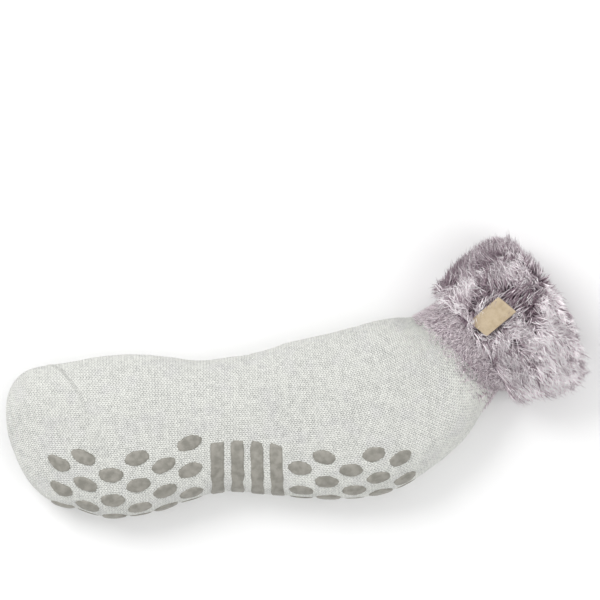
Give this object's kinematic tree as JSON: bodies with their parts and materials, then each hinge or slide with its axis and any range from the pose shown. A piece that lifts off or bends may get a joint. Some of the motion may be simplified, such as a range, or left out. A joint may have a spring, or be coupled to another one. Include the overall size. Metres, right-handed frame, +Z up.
{
  "type": "lounge sock",
  "caption": "Thick knitted lounge sock with a turned-down plush cuff, silicone grips on the sole and a bare woven tab, lying empty on its side.",
  "frame": {"origin": "middle of the footprint's box, on the floor that the sock lies on", "axes": "+X from the toe to the mouth, +Y from the sole to the instep, +Z up, away from the floor"},
  "size_m": [0.3218, 0.1348, 0.064],
  "materials": {
    "knit": "matte",
    "seam": "matte",
    "plush": "matte",
    "fur": "satin",
    "label": "matte",
    "grip": "satin"
  },
  "bodies": {
    "root": {"fur_cuff": "fur", "grip_bar_1": "grip", "grip_bar_2": "grip", "grip_bar_3": "grip", "grip_bar_4": "grip", "grip_forefoot_side_0_1": "grip", "grip_forefoot_side_0_2": "grip", "grip_forefoot_side_0_3": "grip", "grip_forefoot_side_1_1": "grip", "grip_forefoot_side_1_2": "grip", "grip_forefoot_side_1_3": "grip", "grip_forefoot_side_2_1": "grip", "grip_forefoot_side_2_2": "grip", "grip_forefoot_side_2_3": "grip", "grip_forefoot_side_3_1": "grip", "grip_forefoot_side_3_2": "grip", "grip_forefoot_side_3_3": "grip", "grip_forefoot_side_4_1": "grip", "grip_forefoot_side_4_2": "grip", "grip_forefoot_side_4_3": "grip", "grip_forefoot_side_5_1": "grip", "grip_forefoot_side_5_2": "grip", "grip_forefoot_side_5_3": "grip", "grip_forefoot_under_1_1": "grip", "grip_forefoot_under_1_2": "grip", "grip_forefoot_under_1_3": "grip", "grip_forefoot_under_2_1": "grip", "grip_forefoot_under_2_2": "grip", "grip_forefoot_under_2_3": "grip", "grip_heel_side_0_1": "grip", "grip_heel_side_0_2": "grip", "grip_heel_side_1_1": "grip", "grip_heel_side_1_2": "grip", "grip_heel_side_1_3": "grip", "grip_heel_side_2_1": "grip", "grip_heel_side_2_2": "grip", "grip_heel_side_3_1": "grip", "grip_heel_side_3_2": "grip", "grip_heel_side_3_3": "grip", "grip_heel_side_4_1": "grip", "grip_heel_side_4_2": "grip", "grip_heel_under_1_1": "grip", "grip_heel_under_1_2": "grip", "grip_heel_under_1_3": "grip", "grip_heel_under_2_1": "grip", "grip_heel_under_2_2": "grip", "knit_body": "knit", "label": "label", "plush_band": "plush", "toe_seam": "seam"}
  },
  "joints": []
}
